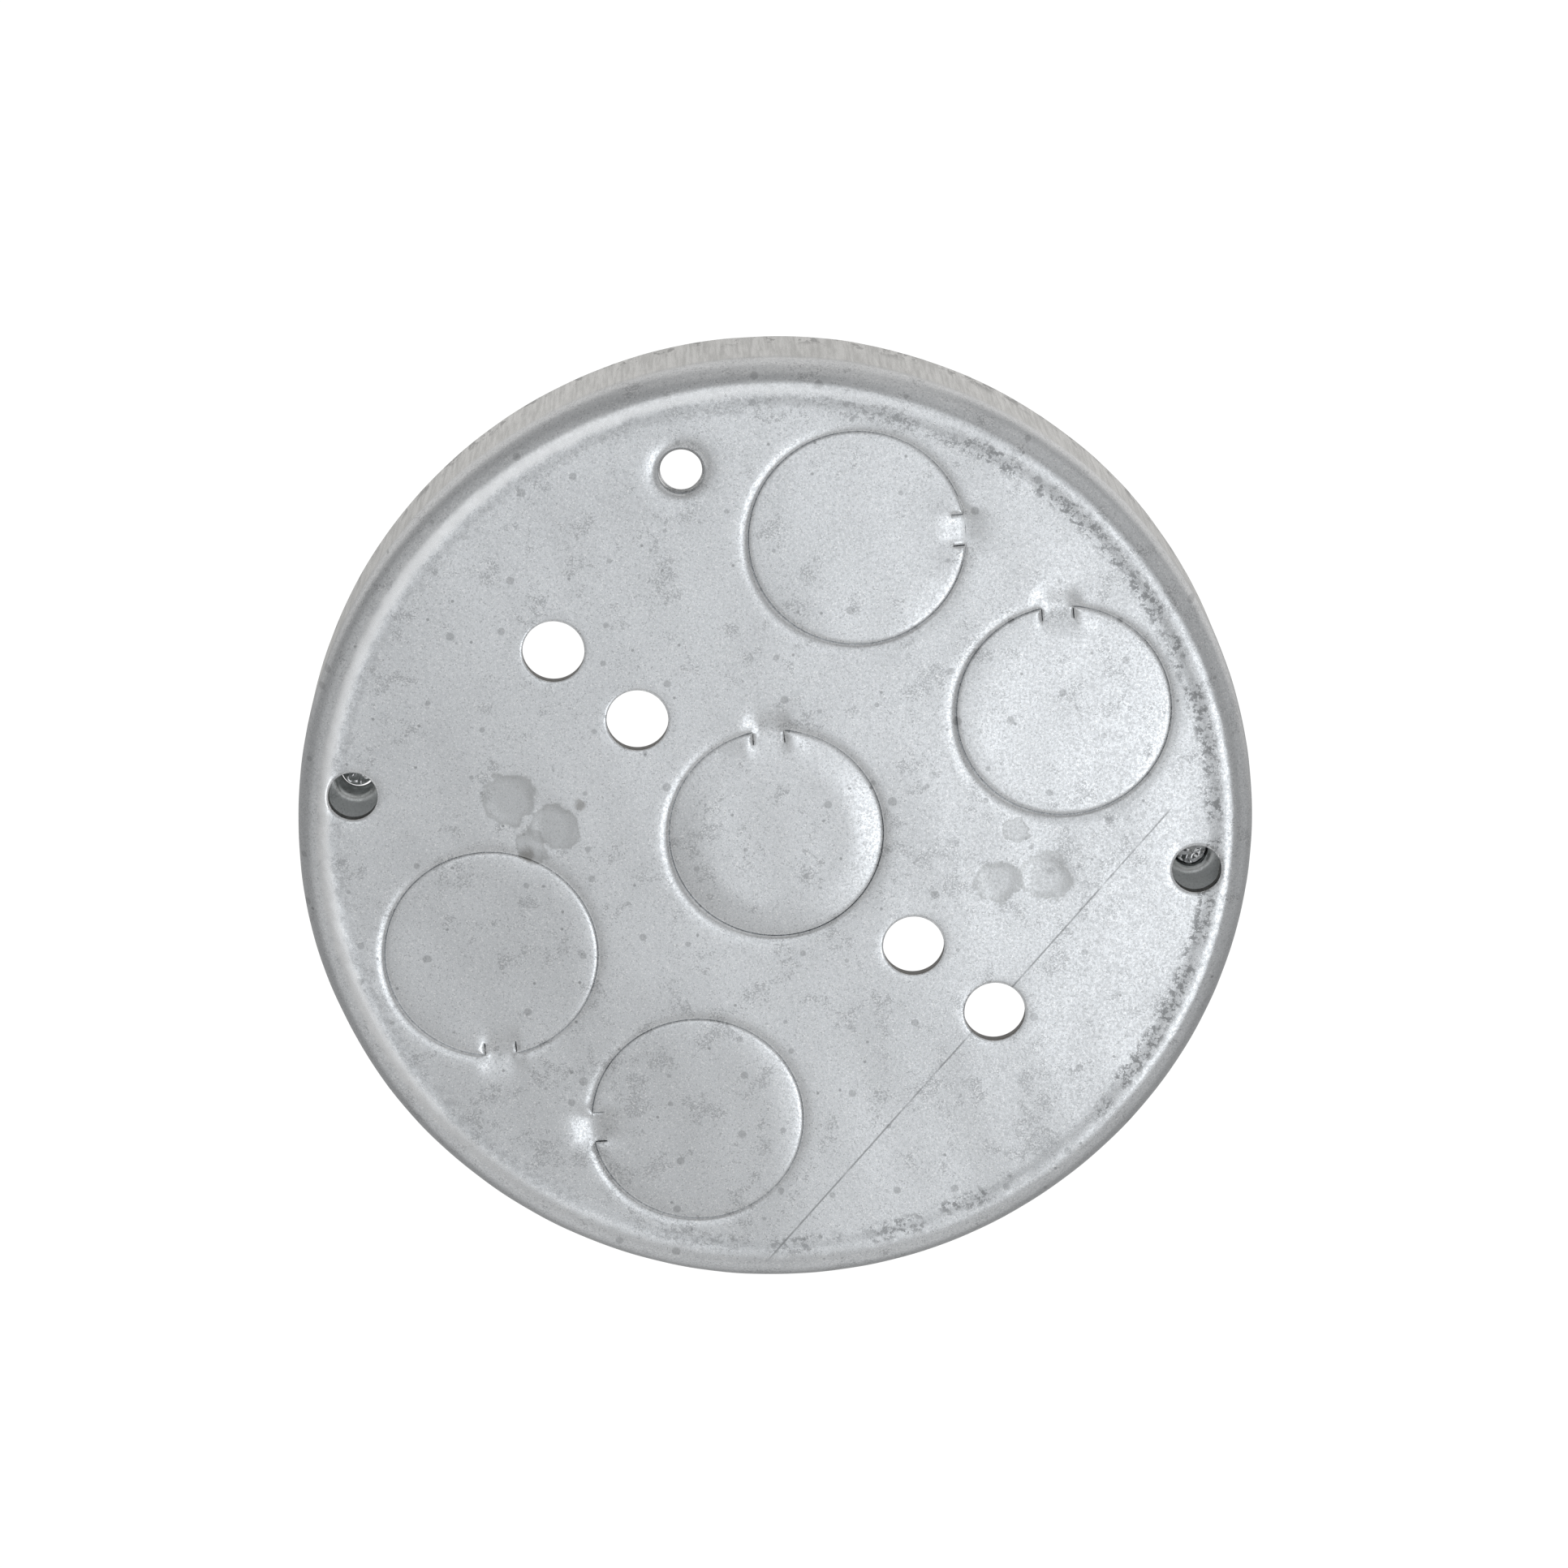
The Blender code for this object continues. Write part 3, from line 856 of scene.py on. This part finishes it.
def screw_section(tip, top, head_radius, side, turns):
    """Radius and height of each row round a screw, from its rough cut end to its domed head."""
    seat = top - HEAD_HEIGHT
    section = []
    for radius in (0.25, 0.5, 0.75, 1.0, 1.2, 1.4, 1.55):
        across, up = radius * np.cos(turns), radius * np.sin(turns)
        rough = 0.14 * ripple(across, up, 1.5, 40 + side) + 0.07 * ripple(across, up, 0.6, 42 + side)
        fade = smooth(0.0, 0.4, 1.7 - radius)
        section.append((radius, tip + 0.22 + np.clip(rough, -0.2, 0.3) * fade))
    section.append((1.62 + 0.05 * ripple(turns * 3, turns * 0, 2.0, 44), tip + 0.3))
    step = THREAD_PITCH / 8
    for index in range(int((seat - tip - 0.5) / step)):
        height = tip + 0.42 + index * step
        phase = (height / THREAD_PITCH - turns / (2 * math.pi)) % 1.0
        crest = np.clip(1.35 * (1 - np.abs(2 * phase - 1)) - 0.1, 0, 1)
        fade = smooth(tip + 0.3, tip + 1.2, height) * (1 - smooth(seat - 0.7, seat - 0.3, height))
        swell = crest * fade + (1 - fade) * 0.75
        section.append((SCREW_ROOT + (SCREW_CREST - SCREW_ROOT) * swell, height))
    section += [(radius, seat) for radius in (SCREW_ROOT + 0.2, 2.4, 3.0, head_radius - 0.15)]
    dome = top - HEAD_CROWN
    section += [(head_radius, seat + 0.12), (head_radius, dome - 0.1)]
    section += [(head_radius * math.cos(turn) ** 0.8, dome + HEAD_CROWN * math.sin(turn))
                for turn in np.linspace(0.12, math.pi / 2, 14)[:-1]]
    return section


def make_screw(name, side, material):
    """A cover screw: a rough cut end, rolled threads, and a slotted pan head."""
    low, high = corners(name)
    x = side * SCREW_X
    top = high[1] - 0.03
    head_radius = (high[0] - low[0]) / 2 - 0.03
    turns = even_turns(SCREW_POINTS)
    build = Build()
    rows = []
    for radius, height in screw_section(low[1], top, head_radius, side, turns):
        ring = np.column_stack((x + radius * np.cos(turns), height + turns * 0, radius * np.sin(turns)))
        rows.append(build.add(ring))
    build.loft(rows)
    build.fan(rows[0], (x, low[1] + 0.2, 0.0))
    build.fan(rows[-1], (x, top, 0.0))
    screw = build.finish(name + "_thread_and_head", material, 50.0)
    cut_slot(screw, x, top, head_radius + 1, SLOT_TURNS[side])
    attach(screw, name)
    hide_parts(name)


def cut_slot(screw, x, top, reach, turn):
    """Cuts the driver's slot across the head."""
    half = SLOT_WIDTH / 2
    rectangle = ((-reach, -half), (reach, -half), (reach, half), (-reach, half))
    build = Build()
    rows = []
    for height in (top - SLOT_DEPTH, top + 1):
        rows.append(build.add([(x + along * math.cos(turn) - across * math.sin(turn), height,
                                along * math.sin(turn) + across * math.cos(turn))
                               for along, across in rectangle]))
    build.loft(rows)
    build.faces += rows
    tool = build.finish("slot_tool", screw.data.materials[0])
    cut = screw.modifiers.new("slot", "BOOLEAN")
    cut.operation = "DIFFERENCE"
    cut.solver = "EXACT"
    cut.object = tool
    bpy.context.view_layer.update()
    shaped = screw.evaluated_get(bpy.context.evaluated_depsgraph_get())
    mesh = bpy.data.meshes.new_from_object(shaped)
    screw.modifiers.clear()
    screw.data = mesh
    bpy.data.objects.remove(tool, do_unlink=True)


# ---- materials

class Nodes:
    """A small helper round a node tree. An input's source is a socket or a plain value."""

    def __init__(self, tree):
        self.tree = tree

    def link(self, source, target):
        if isinstance(source, bpy.types.NodeSocket):
            self.tree.links.new(source, target)
        else:
            target.default_value = source

    def node(self, kind, sources=None, **settings):
        made = self.tree.nodes.new(kind)
        for key, value in settings.items():
            setattr(made, key, value)
        for key, source in (sources or {}).items():
            self.link(source, made.inputs[key])
        return made

    def math(self, operation, *values):
        return self.node("ShaderNodeMath", dict(enumerate(values)), operation=operation).outputs[0]

    def vector_math(self, operation, *values, output="Vector"):
        made = self.node("ShaderNodeVectorMath", dict(enumerate(values)), operation=operation)
        return made.outputs[output]

    def product(self, first, *others):
        for other in others:
            first = self.math("MULTIPLY", first, other)
        return first

    def span(self, value, low, high, to_low=0.0, to_high=1.0, kind="SMOOTHSTEP"):
        """Maps a value that lies between low and high to a share, or to a place between two others."""
        sources = {"Value": value, "From Min": low, "From Max": high, "To Min": to_low, "To Max": to_high}
        return self.node("ShaderNodeMapRange", sources, interpolation_type=kind).outputs["Result"]


class Shader(Nodes):
    """The nodes of one material, with its colour so far."""

    def __init__(self, name):
        self.material = bpy.data.materials.new(name)
        self.material.use_nodes = True
        super().__init__(self.material.node_tree)
        self.position = self.node("ShaderNodeTexCoord").outputs["Object"]
        self.color = None

    def noise(self, scale, detail, roughness, where):
        sources = {"Vector": where, "Scale": scale, "Detail": detail, "Roughness": roughness}
        return self.node("ShaderNodeTexNoise", sources).outputs["Fac"]

    def cells(self, scale, where, dimensions="2D"):
        """Distance to the middle of each cell of a pattern, and a random value for the cell."""
        sources = {"Vector": where, "Scale": scale}
        made = self.node("ShaderNodeTexVoronoi", sources, voronoi_dimensions=dimensions)
        parts = self.node("ShaderNodeSeparateColor", {0: made.outputs["Color"]})
        return made.outputs["Distance"], parts.outputs["Red"]

    def axes(self):
        return self.node("ShaderNodeSeparateXYZ", {0: self.position}).outputs

    def scaled(self, scale, shift=(0, 0, 0)):
        sources = {"Vector": self.position, "Scale": scale, "Location": shift}
        return self.node("ShaderNodeMapping", sources).outputs["Vector"]

    def distance(self, flat, spot=(0, 0)):
        """Distance of a flat point from a spot given in millimetres."""
        return self.vector_math("DISTANCE", flat, (spot[0] * MM, spot[1] * MM, 0), output="Value")

    def projected(self, flat, towards, start):
        """How far a flat point lies along a direction from a start given in millimetres."""
        along = self.vector_math("DOT_PRODUCT", flat, (*towards, 0), output="Value")
        return self.math("SUBTRACT", along, (towards[0] * start[0] + towards[1] * start[1]) * MM)

    def ring(self, reach, middle, half):
        """1 at a radius in millimetres, falling to 0 at half a width from it."""
        away = self.math("ABSOLUTE", self.math("SUBTRACT", reach, middle * MM))
        return self.span(away, half * MM, half * 0.2 * MM)

    def mix(self, share, *colors):
        one, two = [(*color, 1.0) if isinstance(color, tuple) else color for color in colors]
        return self.node("ShaderNodeMix", {0: share, 6: one, 7: two}, data_type="RGBA").outputs[2]

    def paint(self, color, *shares):
        """Lays a colour over the one so far, by the product of the shares."""
        self.color = self.mix(self.product(*shares), self.color, color)

    def bump(self, height, distance, strength, **before):
        sources = {"Strength": strength, "Distance": distance, "Height": height, **before}
        return self.node("ShaderNodeBump", sources).outputs["Normal"]


def steel(name, light, dark, roughness, seed, speckle=1.0):
    """Zinc-coated steel: bright sparkles and grey grains, which gather in patches."""
    shader = Shader(name)
    where = shader.scaled((1, 1, 1), (seed * 0.013, seed * 0.007, seed * 0.011))
    _, grain = shader.cells(9000, where, "3D")
    fine = shader.noise(3600, 3.0, 0.65, where)
    patch = shader.noise(330, 4.0, 0.68, where)
    broad = shader.noise(75, 2.0, 0.5, where)
    gathered = shader.math("MULTIPLY_ADD", broad, 0.22, shader.math("SUBTRACT", patch, 0.11))
    dense = shader.span(gathered, 0.56, 0.66)
    share = shader.math("MULTIPLY_ADD", dense, 0.42, 0.07)
    grey = shader.span(shader.math("SUBTRACT", share, grain), -0.04, 0.06)
    shader.color = shader.mix(shader.product(grey, 0.72 * speckle), light, dark)
    shader.paint(dark, shader.span(fine, 0.62, 0.34, 0.0, 0.30 * speckle))
    shader.paint(dark, shader.span(broad, 0.38, 0.68, 0.0, 0.16))
    shader.paint(dark, dense, 0.06 * speckle)
    glint = tuple(min(1.0, part * 1.27) for part in light)
    shader.paint(glint, shader.span(grain, 0.86, 0.97, 0.0, 0.6 * speckle))
    gloss = shader.span(fine, 0.3, 0.7, roughness + 0.05, roughness - 0.05)
    normal = shader.bump(fine, 0.000008, 0.5)
    normal = shader.bump(patch, 0.00004, 0.2, Normal=normal)
    inputs = shader.tree.nodes["Principled BSDF"].inputs
    for key, source in (("Metallic", 1.0), ("Roughness", gloss), ("Normal", normal)):
        shader.link(source, inputs[key])
    return shader


def finished(shader):
    """Joins the colour to the shader, and hands over its material."""
    shader.link(shader.color, shader.tree.nodes["Principled BSDF"].inputs["Base Color"])
    return shader.material


def paint_specks(shader, flat, darker_grey):
    """Round dark specks of two sizes."""
    near, chosen = shader.cells(170, flat)
    size = shader.span(chosen, 0.45, 1.0, 0.035, 0.082, "LINEAR")
    speck = shader.span(shader.math("SUBTRACT", near, size), 0.012, -0.012)
    shader.paint(darker_grey, speck, shader.math("GREATER_THAN", chosen, 0.45), 0.42)
    near, chosen = shader.cells(420, flat)
    shader.paint(darker_grey, shader.span(near, 0.085, 0.05), shader.math("GREATER_THAN", chosen, 0.93), 0.62)


def paint_welds(shader, flat):
    """The spot welds' dull, ringed marks, and the burnt pits beside them."""
    wobble = shader.math("SUBTRACT", shader.noise(360, 4.0, 0.65, flat), 0.5)
    for x, z, radius, _ in weld_spots():
        away = shader.math("MULTIPLY_ADD", wobble, 3.4 * MM, shader.distance(flat, (x, z)))
        inside = shader.span(away, radius * 1.04 * MM, radius * 0.90 * MM)
        shader.paint((0.52, 0.53, 0.535), inside, 0.52)
        rim = shader.span(away, radius * 0.62 * MM, radius * 0.98 * MM)
        shader.paint((0.34, 0.345, 0.34), inside, rim, 0.30)
    for x, z, radius in WELD_PITS:
        away = shader.math("MULTIPLY_ADD", wobble, 3.0 * MM, shader.distance(flat, (x, z)))
        shader.paint((0.25, 0.24, 0.225), shader.span(away, radius * 1.3 * MM, radius * 0.5 * MM), 0.6)


def paint_scratch(shader, flat, darker_grey):
    """One long straight scratch, which fades at its ends and comes and goes between them."""
    start, end = SCRATCH
    length = math.dist(start, end)
    along = ((end[0] - start[0]) / length, (end[1] - start[1]) / length)
    aside = shader.projected(flat, (along[1], -along[0]), start)
    run = shader.projected(flat, along, start)
    line = shader.span(shader.math("ABSOLUTE", aside), 0.13 * MM, 0.05 * MM)
    ends = shader.product(shader.span(run, 0.0, 3 * MM), shader.span(run, length * MM, (length - 3) * MM))
    broken = shader.span(shader.noise(260, 3.0, 0.7, flat), 0.38, 0.52, 0.32, 0.75)
    shader.paint(darker_grey, line, ends, broken)


def paint_border(shader, flat, reach, darker_grey):
    """A mottled darker band round the base, stronger towards the right; a darker ring where the bend starts
    and a darker band over the bend; and a painted highlight, a near-white ring along the bend that is
    strongest at the left and top.
    """
    x, _, z = shader.axes()
    starts = shader.span(reach, (FLAT_RADIUS - 2.4) * MM, (FLAT_RADIUS - 1.5) * MM)
    stops = shader.span(reach, (FLAT_RADIUS + 0.5) * MM, (FLAT_RADIUS - 0.3) * MM)
    side = shader.span(x, -26 * MM, 34 * MM, 0.28, 1.0)
    mottle = shader.span(shader.noise(1300, 4.0, 0.8, flat), 0.49, 0.55)
    patches = shader.span(shader.noise(130, 3.0, 0.6, flat), 0.40, 0.52)
    # A mottled darker band round the base's border, stronger towards the right.
    shader.paint(darker_grey, starts, stops, side, mottle, patches, 0.9)
    unsteady = shader.math("MULTIPLY_ADD", shader.noise(500, 3.0, 0.7, flat), 0.9 * MM, reach)
    # A darker ring where the bend starts, and a darker band over the bend.
    shader.paint(darker_grey, shader.ring(unsteady, FLAT_RADIUS - 0.4, 0.75), 0.22)
    shader.paint(darker_grey, shader.ring(unsteady, FLAT_RADIUS + 3.6, 2.3), 0.30)
    # Painted highlight: a near-white ring along the start of the bend, strongest at the left and towards the
    # top.
    painted_highlight = shader.ring(unsteady, FLAT_RADIUS + 0.95, 0.95)
    by_x = shader.span(x, -38 * MM, 25 * MM, 0.85, 0.03)
    by_z = shader.span(z, -48 * MM, -25 * MM, 0.2, 1.0)
    shader.paint((0.99, 0.995, 1.0), painted_highlight, by_x, by_z)


def base_marks(shader, dark):
    """Marks on the outer face: specks, weld marks and a scratch, darker bands at the border, and a painted
    highlight along the bend.
    """
    x, y, z = shader.axes()
    flat = shader.node("ShaderNodeCombineXYZ", {"X": x, "Y": z}).outputs[0]
    reach = shader.distance(flat)
    darker_grey = tuple(0.62 * part for part in dark)
    plain = shader.color
    paint_specks(shader, flat, darker_grey)
    paint_welds(shader, flat)
    paint_scratch(shader, flat, darker_grey)
    paint_border(shader, flat, reach, darker_grey)
    outer_base = shader.span(y, 1.3 * MM, 1.0 * MM)
    outer_wall = shader.span(reach, (PAN_RADIUS - SHEET - 0.5) * MM, (PAN_RADIUS - SHEET) * MM)
    shader.color = shader.mix(shader.math("MAXIMUM", outer_base, outer_wall), plain, shader.color)


def wall_marks(shader):
    """Streaks drawn along the side wall, and scuffs near the rim."""
    _, y, _ = shader.axes()
    streaks = shader.noise(1.0, 4.0, 0.7, shader.scaled((2100, 110, 2100)))
    warm = shader.mix(shader.span(streaks, 0.36, 0.66), (0.96, 0.955, 0.93), (0.64, 0.635, 0.61))
    shader.paint(warm, shader.span(y, 2.4 * MM, 4.2 * MM), 0.8)
    scuff = shader.noise(1.0, 4.0, 0.75, shader.scaled((420, 150, 420)))
    rim = shader.span(y, 8.5 * MM, 12.5 * MM)
    shader.paint((0.24, 0.24, 0.235), shader.span(scuff, 0.53, 0.58), rim, 0.7)


def make_materials():
    light, dark = (0.79, 0.808, 0.826), (0.44, 0.45, 0.46)
    sheet = steel("galvanised_sheet_look", light, dark, 0.27, 1)
    base_marks(sheet, dark)
    wall_marks(sheet)
    slug = steel("galvanised_slug_look", light, dark, 0.27, 1)
    base_marks(slug, dark)
    # The torn edges are dark bare steel, painted darker still as shade on the walls of the holes.
    cut = steel("sheared_edge_look", (0.15, 0.147, 0.14), (0.08, 0.077, 0.073), 0.42, 2, 0.8)
    strap = steel("ear_strap_look", (0.86, 0.885, 0.88), (0.50, 0.51, 0.51), 0.36, 3, 0.8)
    screw = steel("zinc_screw_look", (0.93, 0.94, 0.95), (0.60, 0.62, 0.64), 0.18, 4, 0.5)
    looks = {"sheet": sheet, "slug": slug, "cut": cut, "strap": strap, "screw": screw}
    return {name: finished(shader) for name, shader in looks.items()}


# ---- studio

# Soft boxes of the studio: name, azimuth (0 in front of the base, 90 to its right), elevation,
# half width and softness in degrees, strength, and how warm its light is.
SOFT_BOXES = [
    ("sheen", 16, -16, 7, 8, 2.1, -1.0),
    ("front", 0, 0, 14, 20, 0.53, -1.0),
    ("front_low", 0, -42, 20, 24, 0.12, 0.0),
    ("left_front", -45, 5, 24, 30, 0.13, 0.0),
    ("left_low", -50, -45, 24, 26, 0.22, 0.0),
    ("right_front_up", 45, 35, 24, 26, 0.19, 0.0),
    ("right_low", 50, -50, 24, 26, 0.15, 0.0),
    ("right", 90, 5, 26, 30, 0.16, 0.0),
    ("right_up", 90, 50, 24, 30, 0.12, 0.0),
    ("left_up", -110, 45, 24, 30, 0.09, 1.0),
    ("above", 0, 80, 24, 30, 0.22, 1.0),
    ("above_back", 180, 55, 24, 30, 0.42, 1.0),
    ("behind", 180, 15, 26, 30, 0.14, 1.0),
    ("behind_right", 135, 20, 24, 30, 0.51, 1.0),
    ("behind_left", -135, 20, 24, 30, 0.39, 1.0),
    ("below", 0, -85, 24, 30, 0.20, 0.0),
]
SURROUND_LIGHT = 0.405
WARMTH = 0.03
DOME_RADIUS = 4000.0
FLOOR_HALF = 3000.0


def light_color(warmth):
    """White, a little towards orange or, where warmth is negative, towards blue."""
    return 1 + WARMTH * warmth, 1.0, 1 - WARMTH * warmth


def make_studio():
    """An even surround with soft boxes all round, and a white backdrop and floor."""
    world = bpy.data.worlds.new("studio")
    bpy.context.scene.world = world
    world.use_nodes = True
    nodes = Nodes(world.node_tree)
    direction = nodes.node("ShaderNodeTexCoord").outputs["Generated"]
    total = (SURROUND_LIGHT,) * 3
    for _, azimuth, elevation, half, softness, strength, warmth in SOFT_BOXES:
        turn, climb = math.radians(azimuth), math.radians(elevation)
        towards = (math.sin(turn) * math.cos(climb), -math.cos(turn) * math.cos(climb), math.sin(climb))
        angle = nodes.math("ARCCOSINE", nodes.vector_math("DOT_PRODUCT", direction, towards, output="Value"))
        inside, outside = math.radians(half - softness / 2), math.radians(half + softness / 2)
        level = nodes.span(angle, inside, outside, strength, 0.0)
        total = nodes.vector_math("ADD", nodes.vector_math("MULTIPLY", level, light_color(warmth)), total)
    background = nodes.tree.nodes["Background"]
    nodes.link(total, background.inputs["Color"])
    nodes.link(1.0, background.inputs["Strength"])
    make_surround()


def glowing_white(name):
    """A material that gives off an even white."""
    material = bpy.data.materials.new(name)
    material.use_nodes = True
    nodes = Nodes(material.node_tree)
    nodes.tree.nodes.clear()
    glow = nodes.node("ShaderNodeEmission", {"Strength": 1.05})
    nodes.node("ShaderNodeOutputMaterial", {"Surface": glow.outputs[0]})
    return material


def make_surround():
    """A plain white floor under the box, and a plain white dome round it."""
    floor = Build()
    level = -PAN_RADIUS - 0.05
    sides = ((-1, -1), (1, -1), (1, 1), (-1, 1))
    floor.faces = [floor.add([(x * FLOOR_HALF, y * FLOOR_HALF, level) for x, y in sides])]
    dome = Build()
    rows = []
    for turn in np.linspace(-1.5, 1.5, 17):
        ring = circle(DOME_RADIUS * math.cos(turn), DOME_POINTS)
        rows.append(dome.add([(x, y, DOME_RADIUS * math.sin(turn)) for x, y in ring]))
    dome.loft(rows)
    dome.faces += [rows[0], rows[-1]]
    white = glowing_white("plain_white")
    for name, build in (("floor", floor), ("dome", dome)):
        item = build.make(name, white)
        for ray in ("diffuse", "glossy", "transmission", "volume_scatter", "shadow"):
            setattr(item, "visible_" + ray, False)


def make_camera():
    """The camera, which looks at the box from its azimuth and elevation, and is rolled."""
    data = bpy.data.cameras.new("camera")
    data.sensor_width = 36.0
    data.lens = 18.0 / math.tan(CAMERA_FIELD / 2)
    data.clip_start = 0.05
    data.clip_end = 20.0
    camera = bpy.data.objects.new("camera", data)
    level = math.cos(CAMERA_ELEVATION)
    back = Vector((math.sin(CAMERA_AZIMUTH) * level, -math.cos(CAMERA_AZIMUTH) * level,
                   math.sin(CAMERA_ELEVATION)))
    camera.location = CAMERA_TARGET + back * CAMERA_DISTANCE
    turn = (-back).to_track_quat("-Z", "Y").to_matrix() @ Matrix.Rotation(CAMERA_ROLL, 3, "Z")
    camera.rotation_euler = turn.to_euler()
    bpy.context.scene.collection.objects.link(camera)
    bpy.context.scene.camera = camera


def main():
    looks = make_materials()
    make_pan(looks["sheet"], looks["cut"])
    for knockout in KNOCKOUTS:
        make_slug(knockout, looks["slug"], looks["cut"])
        make_tie(knockout, looks["sheet"])
    for side, name in ((1, "right"), (-1, "left")):
        make_strap(side, "ear_bracket_" + name, looks["strap"])
        make_screw("cover_screw_" + name, side, looks["screw"])
    make_studio()
    make_camera()
    bpy.context.scene.view_settings.view_transform = "Standard"


main()
